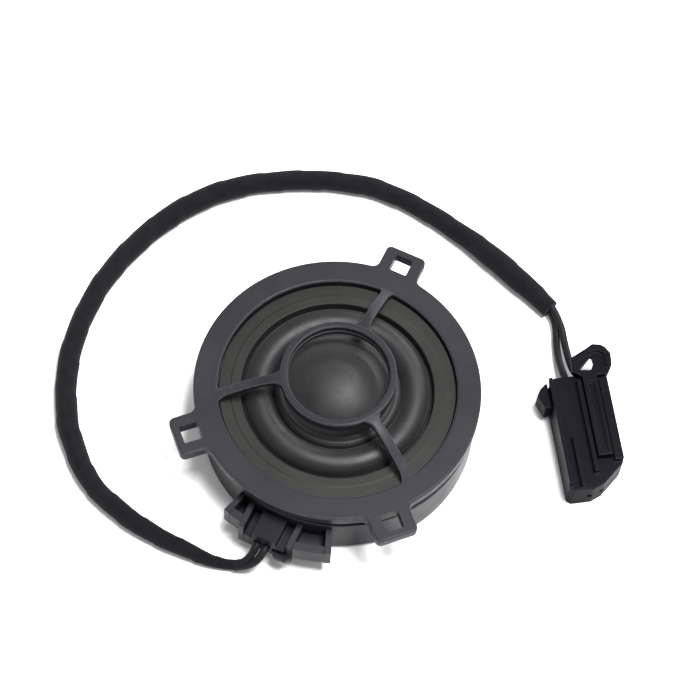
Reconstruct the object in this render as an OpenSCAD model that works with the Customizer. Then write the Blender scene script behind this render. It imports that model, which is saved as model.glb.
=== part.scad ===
// Car tweeter with a plug-in pigtail harness. Millimetres, +Z out of the dome.
// The origin is the centre of the flat back face, on the driver's axis.
// The plug socket faces -Y and the single ear faces +Y.

/* [Front grille] */
// Outer radius of the ring plate
ring_r = 28; // [27:0.5:30]
// Radius of the opening inside the ring plate
opening_r = 23.3; // [22.8:0.1:23.6]
// Height of the ring plate's face over the back face
face_z = 14; // [13.8:0.1:14.4]
// Height of the raised centre ring over the back face
crown_z = 20; // [19:0.5:22]
// Width of each arched spoke
spoke_w = 2; // [1.6:0.1:2.6]
// Outer radius of the raised centre ring
crown_r = 11.45; // [11.2:0.05:11.8]

/* [Ears] */
// Radius of the circle on which the ear holes lie
ear_pitch_r = 30; // [29.8:0.1:30.4]
// Side of each square ear hole
ear_hole = 3.6; // [3:0.1:3.8]
// Width of each ear
ear_w = 8.4; // [7.6:0.2:9]
// Thickness of each ear
ear_t = 2.2; // [1.8:0.1:2.4]

/* [Driver] */
// Radius of the soft dome
dome_r = 10.45; // [10.4:0.01:10.5]
// Height of the dome's crown over its rim
dome_h = 4.6; // [4:0.1:5]

/* [Housing] */
// Outer radius of the rear housing
housing_r = 26.9; // [26.8:0.1:27]
// Distance that the housing's outer wall stands off the driver's axis
housing_shift = 1.1; // [0.8:0.1:1.1]

/* [Plug] */
// Half distance between the plug's two contacts
plug_pitch = 0.9; // [0.85:0.05:0.95]
// Length of the plug body along its axis
plug_len = 5.3; // [5:0.1:5.3]

/* [Harness] */
// Diameter of each insulated wire
wire_d = 1.5; // [1.3:0.1:1.6]
// Heading of the far connector, in degrees from +X
connector_yaw = -57; // [-60:1:-54]

/* [Hidden] */

$fn = 96;
edge_fn = 24;      // facets of small round corners
gap = 0.25;        // clearance between pieces that move past each other
eps = 0.01;        // reach of a cut past the face that it opens

// Colours
shell_colour = "#3d3c42";
driver_colour = "#484846";
fabric_colour = "#3a3a3a";
steel_colour = "#9a9ca0";
copper_colour = "#b5713c";
felt_colour = "#5c5a55";
wire_colour = "#26252b";
connector_colour = "#2b2a33";

// Front ring and its spokes
plate_t = 2.4;
plate_back_z = face_z - plate_t;
plate_round = 0.5;
ear_angles = [90, 225, 315];
ear_reach = 33.3;
ear_corner = 1;
spoke_angles = [90, 210, 330];
spoke_t = 1.5;
spoke_foot_r = opening_r + 0.7;
spoke_steps = 12;
spoke_curve = 1.8;      // how much steeper a spoke is at its foot
crown_hole_r = 10.1;
crown_t = 1.8;
crown_round = 0.5;

// Housing heights
floor_t = 1.6;
housing_top_z = 10.4;   // top of the full-width wall, under the shadow gap
neck_r = 26.2;
neck_start_z = 5;       // where the neck begins inside the wall
neck_bore_r = 25.2;
housing_edge = 1.2;
shift_heading = -35;      // heading of the outer wall's offset, in degrees from +X

// Driver frame
frame_r = 25;
gasket_t = 0.3;
frame_flange_z = plate_back_z - gasket_t;
frame_seat_z = 10;        // height of the posts that the frame sits on
frame_face_z = 12.9;
frame_face_r = opening_r - 0.2;
frame_ledge_z = 11;
frame_floor_z = 9.2;
frame_hub_z = 6.2;
frame_hub_bore = 13.3;
frame_hub_r = 15.4;
frame_step_r = 20.6;
frame_step = 0.15;

// Surround
roll_outer_r = 18.3;
roll_inner_r = 12.1;
roll_crest_z = 14.1;
roll_foot_z = 11.4;
roll_t = 0.35;
roll_steps = 16;

// Motor
magnet_r = 8.8;
magnet_base_z = 4;
pole_base_z = 7.6;
pole_top_z = 9.6;
pole_r = 9.55;
yoke_base_z = 2.3;
yoke_r = 13.25;
yoke_bore_r = 10.9;
coil_r = 9.9;
coil_t = 0.2;
winding_t = 0.4;
dome_base_z = 13.2;
dome_t = 0.35;
collar_r = roll_inner_r - 0.1;
collar_base_z = dome_base_z - 0.3;

// Plug socket in the housing's side
socket_x = 5.6;           // half width over the rails
rail_t = 1.1;
socket_mouth_y = -32.6;
socket_root_y = -25.5;     // inside the housing's wall
socket_floor_z = 2.2;
socket_floor_t = 1.2;
socket_top_z = 9;
pin_side = 0.64;
pin_z = 5.6;
pin_x = [-0.3 - plug_pitch, -0.3 + plug_pitch];
pin_tip_y = -31.2;
pin_tail_y = -21.2;
guard_outer_r = [32.2, 32.9];   // left and right guard
guard_wall = 1.6;
guard_base_z = 4.4;
guard_floor_t = 1;
right_guard_end = -67;
left_guard_end = -107;
post_angles = [15, 55, 125, 165, 215, 325];
post_w = 1.6;
guard_start = 10;         // degrees from the socket's middle to a guard's near end, inside a rail
guard_end = 2.2;          // degrees covered by a guard's end wall
guard_lip = 0.15;         // how far a guard's end wall stands proud
guard_drop = 0.4;         // how far a guard's outer wall stays under the rails' top
guard_root_r = 25.7;      // where the guards start, inside the housing's wall

// Capacitor inside the housing
lead_r = 0.3;            // half the side of a flat lead
lead_ring_r = 21.6;
capacitor_at = [0, 20.4, pin_z - pin_side / 2 - lead_r];
capacitor_r = 3.15;
capacitor_len = 11;

// Plug
plug_x = socket_x - rail_t - gap;
plug_back_y = -33;
plug_front_y = plug_back_y + plug_len;
plug_base_z = socket_floor_z + socket_floor_t + gap;
plug_deck_z = 6.8;
plug_key_x = 2.5;
plug_key_z = socket_top_z;
latch_x = [2, 4.15];
latch_t = 1;
latch_z = plug_base_z + 0.55;

// Far connector, in its own frame: u along its body to the mating end, v to its right
connector_at = [40, 27];
body_h = 6.4;
rib_h = 1.3;
body_half = 5.8;
body_len = 25.2;
bay_z = 3;                // height of the contact bores
bay_r = 1.15;
bay_mouth_r = 0.5;
bay_v = [-1.6, 1];
contact_start_u = 1.2;
lock_z = 4.5;
lock_t = 0.9;
latch_base_z = body_h + 0.35;
latch_pivot_u = 7;
latch_nose_u = 19;
arm_v = [0.8, 3.7];
loop_back = -4.8;

// Routes: [x, y, z, radius]
loom_route = [
    [-3.6, -37.3, 1.25, 1.25], [-5.9, -38.1, 1.2, 1.2], [-8.7, -38.6, 1.4, 1.4],
    [-12, -38.8, 1.65, 1.65], [-16, -38.8, 1.85, 1.85], [-20, -38.7, 1.9, 1.9],
    [-25, -38.1, 2.05, 2.05], [-30, -36.9, 2.1, 2.1], [-35, -35.1, 2.1, 2.1], [-39, -32.6, 2.15, 2.15],
    [-42.7, -29.2, 2.25, 2.25], [-46.4, -25.1, 2.3, 2.3], [-49.7, -19.6, 2.3, 2.3],
    [-52.3, -13.8, 2.3, 2.3], [-54, -7.7, 2.25, 2.25], [-54.8, -1.6, 2.25, 2.25],
    [-54.9, 4.9, 2.25, 2.25], [-54.1, 11.6, 2.3, 2.3], [-52.4, 18.4, 2.3, 2.3],
    [-49.9, 24.9, 2.35, 2.35], [-46.5, 30.9, 2.35, 2.35], [-42.3, 36.2, 2.3, 2.3],
    [-37, 40.9, 2.2, 2.2], [-30.7, 44.8, 2.2, 2.2], [-23.6, 48.1, 2.15, 2.15], [-16, 50.4, 2.15, 2.15],
    [-9, 50.9, 2.1, 2.1], [-1.8, 50.2, 2.1, 2.1], [5.8, 48.6, 2.2, 2.2], [13.4, 46.4, 2.45, 2.45],
    [19.9, 44.1, 2.45, 2.45], [25.5, 42.1, 2.2, 2.2], [29.5, 40.5, 2, 2]];
plug_wire_left_route = [
    [pin_x[0], plug_back_y, pin_z, 0], [-1.25, -34.2, 5.2, 0], [-1.6, -35.6, 4.1, 0],
    [-2.5, -36.7, 2.8, 0], [-4, -37.3, 1.7, 0]];
plug_wire_right_route = [
    [pin_x[1], plug_back_y, pin_z, 0], [0.5, -34.3, 5.3, 0], [0, -35.9, 4.4, 0],
    [-1.3, -37, 3, 0], [-3.6, -37.9, 1.5, 0]];
connector_wire_left_route = [
    [28.9, 40.7, 1.6, 0], [30.7, 39.1, 1.5, 0], [32.2, 37, 1.4, 0], [33.6, 34, 1.3, 0],
    [35.2, 31, 1.7, 0], [37, 28.3, 2.5, 0], [38.2, 26.8, 2.9, 0], [39.31, 25.12, 3, 0]];
connector_wire_right_route = [
    [29.3, 40.9, 2.8, 0], [31.2, 39.3, 2.6, 0], [33.2, 37.2, 2.4, 0], [35, 34.6, 2.1, 0],
    [36.8, 32, 2.3, 0], [38.6, 29.6, 2.8, 0], [40.2, 28.2, 3, 0], [41.49, 26.54, 3, 0]];

function unit(v) = v / norm(v);

// Direction of travel at ring i of a route
function heading(route, i) =
    let (a = route[max(i - 1, 0)], b = route[min(i + 1, len(route) - 1)])
    unit([b[0] - a[0], b[1] - a[1], b[2] - a[2]]);

// Points of the ring of a swept tube around route point i
function tube_ring(route, i, sides, r) =
    let (along = heading(route, i),
         side = unit(cross([0, 0, 1], along)),
         up = cross(along, side),
         centre = [route[i][0], route[i][1], route[i][2]],
         radius = r > 0 ? r : route[i][3])
    [for (k = [0:sides - 1]) let (a = 360 * (k + 0.5) / sides)
        centre + radius * (cos(a) * side + sin(a) * up)];

// A round tube swept along a route, as one closed polyhedron
module tube(route, sides, r = 0) {
    rings = len(route);
    points = [for (i = [0:rings - 1]) each tube_ring(route, i, sides, r)];
    start_cap = [for (k = [0:sides - 1]) k];
    end_cap = [for (k = [sides - 1:-1:0]) (rings - 1) * sides + k];
    walls = [for (i = [0:rings - 2]) for (k = [0:sides - 1])
        let (next = (k + 1) % sides)
        each [[i * sides + k, (i + 1) * sides + k, (i + 1) * sides + next],
              [i * sides + k, (i + 1) * sides + next, i * sides + next]]];
    polyhedron(points = points, faces = concat([start_cap, end_cap], walls), convexity = 10);
}

// A flat washer from height z0 to z1
module washer(r_in, r_out, z0, z1) {
    translate([0, 0, z0])
        difference() {
            cylinder(r = r_out, h = z1 - z0);
            translate([0, 0, -eps]) cylinder(r = r_in, h = z1 - z0 + 2 * eps);
        }
}

// A box between two opposite corners
module box(a, b) {
    translate(a) cube(b - a);
}

// Height of a spoke's top at radius r
function spoke_z(r) =
    let (t = max(0, min(1, (spoke_foot_r - r) / (spoke_foot_r - crown_r + 0.6))))
    face_z + (crown_z - face_z - 0.2) * (1 - pow(1 - t, spoke_curve));

// ---------- Front grille ----------

module ear() {
    difference() {
        translate([0, 0, face_z - ear_t]) linear_extrude(ear_t) difference() {
            union() {
                translate([opening_r + 1, -ear_w / 2]) square([ear_reach - ear_corner - opening_r - 1, ear_w]);
                translate([opening_r + 1, -ear_w / 2 + ear_corner])
                    square([ear_reach - opening_r - 1, ear_w - 2 * ear_corner]);
                for (s = [-1, 1])
                    translate([ear_reach - ear_corner, s * (ear_w / 2 - ear_corner)])
                        circle(r = ear_corner, $fn = edge_fn);
            }
            translate([ear_pitch_r - ear_hole / 2, -ear_hole / 2]) square(ear_hole);
        }
        translate([0, 0, face_z - ear_t - eps]) cylinder(r = opening_r + 0.5, h = ear_t + 2 * eps);
    }
}

// One arched spoke along +X, from the ring plate's face up to the centre ring
module spoke() {
    inner_r = crown_hole_r + 0.6;
    radii = [for (i = [0:spoke_steps]) inner_r + (spoke_foot_r - inner_r) * i / spoke_steps];
    top = [for (r = radii) [r, spoke_z(r)]];
    bottom = [for (i = [spoke_steps:-1:0]) [radii[i], spoke_z(radii[i]) - spoke_t]];
    rotate([90, 0, 0]) translate([0, 0, -spoke_w / 2]) linear_extrude(spoke_w)
        polygon(concat(top, bottom));
}

module front_grille() color(shell_colour) union() {
    rotate_extrude() {
        translate([opening_r, plate_back_z]) square([ring_r - opening_r - plate_round, plate_t]);
        translate([opening_r, plate_back_z]) square([ring_r - opening_r, plate_t - plate_round]);
        translate([ring_r - plate_round, face_z - plate_round]) circle(r = plate_round, $fn = edge_fn);
    }
    rotate_extrude() {
        translate([crown_hole_r, crown_z - crown_t]) square([crown_r - crown_hole_r, crown_t - crown_round]);
        translate([crown_hole_r + crown_round, crown_z - crown_t])
            square([crown_r - crown_hole_r - 2 * crown_round, crown_t]);
        for (r = [crown_hole_r + crown_round, crown_r - crown_round])
            translate([r, crown_z - crown_round]) circle(r = crown_round, $fn = edge_fn);
    }
    for (a = ear_angles) rotate(a) ear();
    for (a = spoke_angles) rotate(a) spoke();
}

module grille_gasket() color(felt_colour)
    washer(frame_face_r + 0.1, frame_r, frame_flange_z, plate_back_z);

// ---------- Driver ----------

module diaphragm_frame() color(driver_colour) rotate_extrude() polygon([
    [frame_hub_bore, frame_hub_z], [frame_hub_r, frame_hub_z], [frame_hub_r, frame_floor_z],
    [frame_face_r, frame_floor_z], [frame_face_r, frame_seat_z], [frame_r, frame_seat_z],
    [frame_r, frame_flange_z], [frame_face_r, frame_flange_z],
    [frame_face_r, frame_face_z - frame_step], [frame_step_r, frame_face_z - frame_step],
    [frame_step_r, frame_face_z], [roll_outer_r + 0.5, frame_face_z], [roll_outer_r + 0.3, frame_ledge_z],
    [frame_hub_bore, frame_ledge_z]]);

// The half roll with its outer foot on the frame and its inner foot beside the dome's collar
module surround() color(fabric_colour) rotate_extrude() {
    mid_r = (roll_outer_r + roll_inner_r) / 2;
    half = (roll_outer_r - roll_inner_r) / 2;
    rise = roll_crest_z - roll_foot_z;
    outer = [for (i = [0:roll_steps]) let (a = 180 * i / roll_steps)
        [mid_r + half * cos(a), roll_foot_z + rise * sin(a)]];
    inner = [for (i = [roll_steps:-1:0]) let (a = 180 * i / roll_steps)
        [mid_r + (half - roll_t) * cos(a), roll_foot_z + (rise - roll_t) * sin(a)]];
    polygon(concat(outer, inner));
    translate([roll_outer_r - roll_t, frame_ledge_z]) square([roll_t, roll_foot_z - frame_ledge_z]);
}

module dome() color(fabric_colour) rotate_extrude() {
    cap_r = (dome_r * dome_r + dome_h * dome_h) / (2 * dome_h);
    cap_half = asin(dome_r / cap_r);
    steps = 20;
    apex_z = dome_base_z + dome_h;
    outer = [for (i = [0:steps]) let (a = cap_half * i / steps)
        [cap_r * sin(a), apex_z - cap_r * (1 - cos(a))]];
    inner = [for (i = [steps - 1:-1:0]) let (a = cap_half * i / steps)
        [(cap_r - dome_t) * sin(a), apex_z - cap_r + (cap_r - dome_t) * cos(a)]];
    // Collar that carries the former below and meets the surround outside
    collar = [[collar_r, dome_base_z], [collar_r, collar_base_z], [coil_r, collar_base_z]];
    polygon(concat(outer, collar, inner));
}

module voice_coil_former() color("#c8b48a")
    washer(coil_r, coil_r + coil_t, pole_base_z - 0.4, collar_base_z);

module voice_coil_winding() color(copper_colour)
    washer(coil_r + coil_t, coil_r + coil_t + winding_t, pole_base_z + 0.1, pole_base_z + 2.3);

// Two flat lead-outs lying on the frame's ledge, from beside the former to the frame's edge
module tinsel_leads() color(copper_colour)
    for (s = [-1, 1])
        rotate(-90 + s * 22) box([yoke_bore_r + 0.4, -0.4, frame_ledge_z], [17.6, 0.4, frame_ledge_z + 0.15]);

module pole_plate() color(steel_colour)
    translate([0, 0, pole_base_z]) cylinder(r = pole_r, h = pole_top_z - pole_base_z);

module magnet() color("#b9bcc0")
    translate([0, 0, magnet_base_z]) cylinder(r = magnet_r, h = pole_base_z - magnet_base_z);

module yoke_cup() color(steel_colour) {
    translate([0, 0, yoke_base_z]) cylinder(r = yoke_r, h = magnet_base_z - yoke_base_z);
    washer(yoke_bore_r, yoke_r, magnet_base_z, pole_top_z);
}

module damping_pad() color(felt_colour)
    translate([0, 0, pole_top_z]) cylinder(r = 7.5, h = 1.4);

module rear_foam_pad() color(felt_colour)
    translate([0, 0, floor_t]) cylinder(r = 12, h = yoke_base_z - floor_t);

// ---------- Housing ----------

// A sector of a ring, from angle a0 to a1, radius r0 to r1 and height z0 to z1
module sector(a0, a1, r0, r1, z0, z1)
    rotate(a0) translate([0, 0, z0]) rotate_extrude(angle = a1 - a0)
        translate([r0, 0]) square([r1 - r0, z1 - z0]);

// A curved guard beside the socket: an outer wall, an end wall at angle end, and a closed floor
module guard(from, to, end, outer_r) {
    sector(from, to, outer_r - guard_wall, outer_r, guard_base_z, socket_top_z - guard_drop);
    sector(end, end + guard_end, guard_root_r, outer_r + guard_lip,
           guard_base_z - guard_lip, socket_top_z);
    sector(from, to, guard_root_r, outer_r - guard_lip,
           guard_base_z + guard_lip, guard_base_z + guard_floor_t);
}

module rear_housing() color(shell_colour) difference() {
    union() {
        // Outer wall, a little off the driver's axis towards +X and -Y
        translate([housing_shift * cos(shift_heading), housing_shift * sin(shift_heading), 0])
            rotate_extrude() {
                square([housing_r - housing_edge, housing_top_z]);
                translate([0, housing_edge]) square([housing_r, housing_top_z - housing_edge]);
                translate([housing_r - housing_edge, housing_edge])
                    circle(r = housing_edge, $fn = edge_fn);
            }
        translate([0, 0, neck_start_z]) cylinder(r = neck_r, h = plate_back_z - neck_start_z);
        // Socket floor and rails
        box([-socket_x, socket_mouth_y, socket_floor_z],
            [socket_x, socket_root_y, socket_floor_z + socket_floor_t]);
        for (x = [-socket_x, socket_x - rail_t])
            box([x, socket_mouth_y, socket_floor_z], [x + rail_t, socket_root_y, socket_top_z]);
        guard(-90 + guard_start, right_guard_end - guard_end / 2, right_guard_end - guard_end, guard_outer_r[1]);
        guard(left_guard_end + guard_end / 2, -90 - guard_start, left_guard_end, guard_outer_r[0]);
    }
    // Inside of the cup, with posts left standing under the driver frame
    difference() {
        translate([0, 0, floor_t]) cylinder(r = neck_bore_r, h = plate_back_z);
        for (a = post_angles) rotate(a)
            box([frame_face_r + 0.8, -post_w / 2, 0], [neck_bore_r + 0.5, post_w / 2, frame_seat_z]);
    }
    // Pins' way through the wall
    for (x = pin_x)
        box([x - pin_side / 2, -housing_r - housing_shift - 1, pin_z - pin_side / 2],
            [x + pin_side / 2, -neck_bore_r + 1.5, pin_z + pin_side / 2]);
}

module terminal_pins() color("#c9b27a")
    for (x = pin_x) {
        box([x - pin_side / 2, pin_tip_y, pin_z - pin_side / 2],
            [x + pin_side / 2, pin_tail_y, pin_z + pin_side / 2]);
        // Solder tail turned up inside the housing
        box([x - pin_side / 2, pin_tail_y - pin_side, pin_z + pin_side / 2],
            [x + pin_side / 2, pin_tail_y, pin_z + 2.6]);
    }

module crossover_capacitor() color("#4a4f57")
    translate(capacitor_at) rotate([0, 90, 0]) translate([0, 0, -capacitor_len / 2]) {
        cylinder(r = capacitor_r, h = capacitor_len - 1.4);
        translate([0, 0, capacitor_len - 1.4]) cylinder(r = capacitor_r - 0.3, h = 0.5);
        translate([0, 0, capacitor_len - 0.9]) cylinder(r = capacitor_r, h = 0.9);
    }

// A flat lead from one end of the capacitor, round the motor to angle stop on its own side
module capacitor_lead(stop) {
    start = atan2(capacitor_at[1], capacitor_len / 2 + 2.1);
    rotate(stop) translate([0, 0, capacitor_at[2]]) rotate_extrude(angle = start - stop)
        translate([lead_ring_r - lead_r, -lead_r]) square(2 * lead_r);
    box([capacitor_len / 2, capacitor_at[1] - lead_r, capacitor_at[2] - lead_r],
        [capacitor_len / 2 + 2.4, capacitor_at[1] + lead_r, capacitor_at[2] + lead_r]);
}

// One lead ends under a terminal pin, the other turns up to the driver frame
module capacitor_leads() color("#8c8f94") {
    capacitor_lead(-88.4);
    mirror([1, 0, 0]) {
        capacitor_lead(-68);
        rotate(-68) box([lead_ring_r - lead_r, 0, capacitor_at[2] - lead_r],
                        [lead_ring_r + lead_r, 2 * lead_r, frame_floor_z]);
    }
}

// ---------- Plug ----------

module plug_body() color(connector_colour) difference() {
    union() {
        box([-plug_x, plug_back_y, plug_base_z], [plug_x, plug_front_y, plug_deck_z]);
        box([-plug_key_x, plug_back_y, plug_deck_z - eps], [plug_key_x, plug_front_y, plug_key_z]);
    }
    for (x = pin_x) {
        // Contact chamber, the pin's way in at the front and the wire's at the back
        box([x - 0.75, plug_back_y + 1.5, pin_z - 0.75], [x + 0.75, plug_front_y - 0.6, pin_z + 0.75]);
        box([x - 0.42, plug_front_y - 0.7, pin_z - 0.42], [x + 0.42, plug_front_y + eps, pin_z + 0.42]);
        translate([x, plug_back_y - eps, pin_z]) rotate([-90, 0, 0]) cylinder(d = wire_d + 0.2, h = 1.6);
    }
    // Room for the latch arm at the lower right
    box([latch_x[0] - gap, plug_back_y - eps, plug_base_z - eps],
        [plug_x + eps, plug_front_y - 1, latch_z + latch_t + 0.8]);
}

// Springy arm with a thumb tongue past the mouth; it turns about its front end
module plug_latch() color(connector_colour) {
    box([latch_x[0], plug_back_y, latch_z], [latch_x[1], plug_front_y - 1.2, latch_z + latch_t]);
    translate([0, 0, latch_z]) linear_extrude(latch_t) polygon([
        [latch_x[0] + 0.2, plug_back_y + 0.1], [latch_x[0] + 0.2, -33.7], [2.9, -34.2], [4.9, -34.2],
        [5.8, -33.1], [5.8, socket_mouth_y - 0.2], [latch_x[1], socket_mouth_y - 0.2],
        [latch_x[1], plug_back_y + 0.1]]);
    // Detent nib that runs just over the socket's floor
    box([latch_x[0] + 0.4, plug_back_y + 0.4, latch_z - 0.7], [latch_x[1] - 0.4, plug_back_y + 1, latch_z]);
}

// Box contacts that grip the pins
module plug_contacts() color("#c9b27a")
    for (x = pin_x) difference() {
        box([x - 0.75, plug_back_y + 1.6, pin_z - 0.75], [x + 0.75, plug_front_y - 0.7, pin_z + 0.75]);
        box([x - 0.4, plug_back_y + 1.8, pin_z - 0.4], [x + 0.4, plug_front_y, pin_z + 0.4]);
    }

module plug_wire_left() color(wire_colour) tube(plug_wire_left_route, 8, wire_d / 2);

module plug_wire_right() color(wire_colour) tube(plug_wire_right_route, 8, wire_d / 2);

module taped_loom() color("#2a292e") tube(loom_route, 10);

// ---------- Far connector ----------

module connector_wire_left() color(wire_colour) tube(connector_wire_left_route, 8, wire_d / 2);

module connector_wire_right() color(wire_colour) tube(connector_wire_right_route, 8, wire_d / 2);

// In the connector's frame +X runs to its mating end
module at_connector()
    translate([connector_at[0], connector_at[1], 0]) rotate(connector_yaw) children();

module connector_housing() color(connector_colour) at_connector() difference() {
    union() {
        linear_extrude(body_h) polygon([
            [0.6, -4.6], [0.6, 5], [2, 5.8], [17.6, 6], [20.3, 5.7], [24.2, 1.3], [body_len, -1],
            [body_len, -5], [24.4, -body_half], [2, -body_half]]);
        // Ribs along the top: start and end, then the two sides
        for (rib = [[1, 24, -5.8, -5], [14, 24.6, -3.5, -2.7], [2, 22, -0.4, 0.5], [2, 20, 4, 5.8]])
            box([rib[0], rib[2], body_h - eps], [rib[1], rib[3], body_h + rib_h]);
        // Fulcrum under the latch arm
        box([latch_pivot_u - 0.4, arm_v[0], body_h - eps], [latch_pivot_u + 0.4, arm_v[1], latch_base_z - 0.08]);
    }
    for (v = bay_v) translate([0, v, bay_z]) rotate([0, 90, 0]) {
        cylinder(r = bay_r, h = 21);
        cylinder(r = bay_mouth_r, h = body_len + 1);
    }
    // Slot for the lock, over both contacts
    box([2.1, -body_half - 1, lock_z - 0.1], [6.3, bay_v[1] + 1.3, lock_z + lock_t + 0.1]);
}

// Rocking latch arm between the ribs, with a loop handle behind the body
module connector_latch() color(connector_colour) at_connector() difference() {
    union() {
        translate([0, 0, latch_base_z]) linear_extrude(1.4) polygon([
            [0.4, -1], [-2.3, -0.8], [-3.8, 2.2], [loop_back, 3.9], [-4.5, 5.5], [-3.9, 6.3], [-2.4, 7.2],
            [0.1, 7], [1.7, 6], [1.7, arm_v[1]], [latch_nose_u, arm_v[1]], [latch_nose_u, arm_v[0]],
            [1.7, arm_v[0]]]);
        // Raised rim of the loop
        translate([0, 0, latch_base_z + 1.3]) linear_extrude(0.9) polygon([
            [-1.6, -0.4], [-2.3, -0.8], [-3.8, 2.2], [loop_back, 3.9], [-4.5, 5.5], [-3.9, 6.3],
            [-2.4, 7.2], [0.1, 7], [0.1, 5.8], [-2.4, 5.9], [-3.3, 4.9], [-3.3, 4], [-2.9, 2.6]]);
    }
    // Opening of the loop
    translate([0, 0, latch_base_z - 1]) linear_extrude(5)
        polygon([[0.2, 0.4], [-2.6, 3.4], [-1.2, 3.6], [0.5, 2.8]]);
    // Groove along the arm
    box([3, arm_v[0] + 0.8, latch_base_z + 0.8], [latch_nose_u - 1, arm_v[1] - 0.8, latch_base_z + 3]);
}

// Secondary lock: a blade over the contacts and a push tab on the connector's side
module connector_lock() color(connector_colour) at_connector() {
    box([2.3, -body_half - 0.4, lock_z], [6.1, bay_v[1] + 1, lock_z + lock_t]);
    translate([0, 0, 1.4]) linear_extrude(body_h - 2) polygon([
        [1.4, -body_half - 0.15], [1.4, -6.4], [2.4, -7.6], [3.8, -8.4], [5.4, -7.7], [6.6, -7.3],
        [6.6, -body_half - 0.15]]);
}

module connector_contacts() color("#c9b27a") at_connector()
    for (v = bay_v) translate([contact_start_u, v, bay_z]) rotate([0, 90, 0]) difference() {
        cylinder(r = bay_r - 0.05, h = 19.5);
        translate([0, 0, 12]) cylinder(r = bay_mouth_r, h = 9);
    }

front_grille();
grille_gasket();
diaphragm_frame();
surround();
dome();
voice_coil_former();
voice_coil_winding();
tinsel_leads();
pole_plate();
magnet();
yoke_cup();
damping_pad();
rear_foam_pad();
rear_housing();
terminal_pins();
crossover_capacitor();
capacitor_leads();
plug_body();
plug_latch();
plug_contacts();
plug_wire_left();
plug_wire_right();
taped_loom();
connector_wire_left();
connector_wire_right();
connector_housing();
connector_latch();
connector_lock();
connector_contacts();
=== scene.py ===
import math

import bmesh
import bpy
from mathutils import Matrix, Vector, noise


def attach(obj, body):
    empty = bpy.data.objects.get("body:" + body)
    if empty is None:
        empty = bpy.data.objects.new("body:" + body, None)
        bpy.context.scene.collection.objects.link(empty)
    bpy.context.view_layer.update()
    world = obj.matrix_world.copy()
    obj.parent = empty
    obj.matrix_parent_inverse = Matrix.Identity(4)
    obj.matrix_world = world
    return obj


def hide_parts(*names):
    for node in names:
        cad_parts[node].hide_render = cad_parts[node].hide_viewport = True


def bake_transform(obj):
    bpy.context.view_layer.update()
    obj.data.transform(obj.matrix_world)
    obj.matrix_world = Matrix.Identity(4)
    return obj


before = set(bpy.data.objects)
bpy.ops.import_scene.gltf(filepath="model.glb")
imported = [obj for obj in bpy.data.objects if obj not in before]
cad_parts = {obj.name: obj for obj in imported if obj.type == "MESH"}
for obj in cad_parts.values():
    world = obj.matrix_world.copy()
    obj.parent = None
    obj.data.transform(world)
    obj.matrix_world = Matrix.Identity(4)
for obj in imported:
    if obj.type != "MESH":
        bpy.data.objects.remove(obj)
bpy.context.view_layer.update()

MM = 0.001
WELD = 0.002 * MM         # points closer than this are one point

# ---------------------------------------------------------------- camera

VIEW_ELEVATION = math.radians(62.78)
VIEW_AZIMUTH = math.radians(20.03)
VIEW_ROLL = math.radians(5.30)
VIEW_DISTANCE = 477 * MM
VIEW_TARGET = Vector((-1.2, 8.3, 14.0)) * MM
VIEW_LENS_MM = 125.5


def make_camera():
    """A camera at the view's azimuth and elevation, aimed at the target and rolled on its axis."""
    back = Vector((
        math.cos(VIEW_ELEVATION) * math.sin(VIEW_AZIMUTH),
        -math.cos(VIEW_ELEVATION) * math.cos(VIEW_AZIMUTH),
        math.sin(VIEW_ELEVATION),
    ))
    level = Vector((math.cos(VIEW_AZIMUTH), math.sin(VIEW_AZIMUTH), 0))
    right = Matrix.Rotation(VIEW_ROLL, 3, back) @ level
    up = back.cross(right)
    data = bpy.data.cameras.new("camera")
    data.lens = VIEW_LENS_MM
    data.clip_start = 0.01
    camera = bpy.data.objects.new("camera", data)
    turn = Matrix((right, up, back)).transposed().to_4x4()
    camera.matrix_world = Matrix.Translation(VIEW_TARGET + back * VIEW_DISTANCE) @ turn
    bpy.context.collection.objects.link(camera)
    bpy.context.scene.camera = camera


# ---------------------------------------------------------------- mesh helpers


def add_object(name, mesh):
    obj = bpy.data.objects.new(name, mesh)
    bpy.context.collection.objects.link(obj)
    return obj


def mesh_from(name, points, faces):
    mesh = bpy.data.meshes.new(name)
    mesh.from_pydata(points, [], faces)
    mesh.validate()
    build = bmesh.new()
    build.from_mesh(mesh)
    bmesh.ops.recalc_face_normals(build, faces=build.faces)
    build.to_mesh(mesh)
    build.free()
    return mesh


def shade(obj, angle=35, weighted=True):
    """Smooth shading that keeps edges sharper than angle, with flat faces kept flat."""
    obj.data.shade_smooth()
    obj.data.set_sharp_from_angle(angle=math.radians(angle))
    if weighted:
        normals = obj.modifiers.new("flat faces", "WEIGHTED_NORMAL")
        normals.keep_sharp = True
    return obj


def outline_flats(obj):
    """Level faces keep a straight normal right up to their edges."""
    build = bmesh.new()
    build.from_mesh(obj.data)
    for edge in build.edges:
        level = [abs(face.normal.z) > 0.99999 for face in edge.link_faces]
        if len(level) == 2 and level[0] != level[1]:
            edge.smooth = False
    build.to_mesh(obj.data)
    build.free()
    return obj


def baked(obj):
    """The object with its modifiers applied, as a plain mesh object under the same name."""
    graph = bpy.context.evaluated_depsgraph_get()
    mesh = bpy.data.meshes.new_from_object(obj.evaluated_get(graph))
    name = obj.name
    old = obj.data
    bpy.data.objects.remove(obj)
    if isinstance(old, bpy.types.Curve):
        bpy.data.curves.remove(old)
    elif isinstance(old, bpy.types.Mesh):
        bpy.data.meshes.remove(old)
    mesh.name = name
    return add_object(name, mesh)


def arc(centre, radius, start, end, steps):
    """Points along a circular arc in a plane, from angle start to end in degrees."""
    turns = [math.radians(start + (end - start) * i / steps) for i in range(steps + 1)]
    return [(centre[0] + radius * math.cos(a), centre[1] + radius * math.sin(a)) for a in turns]


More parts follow.
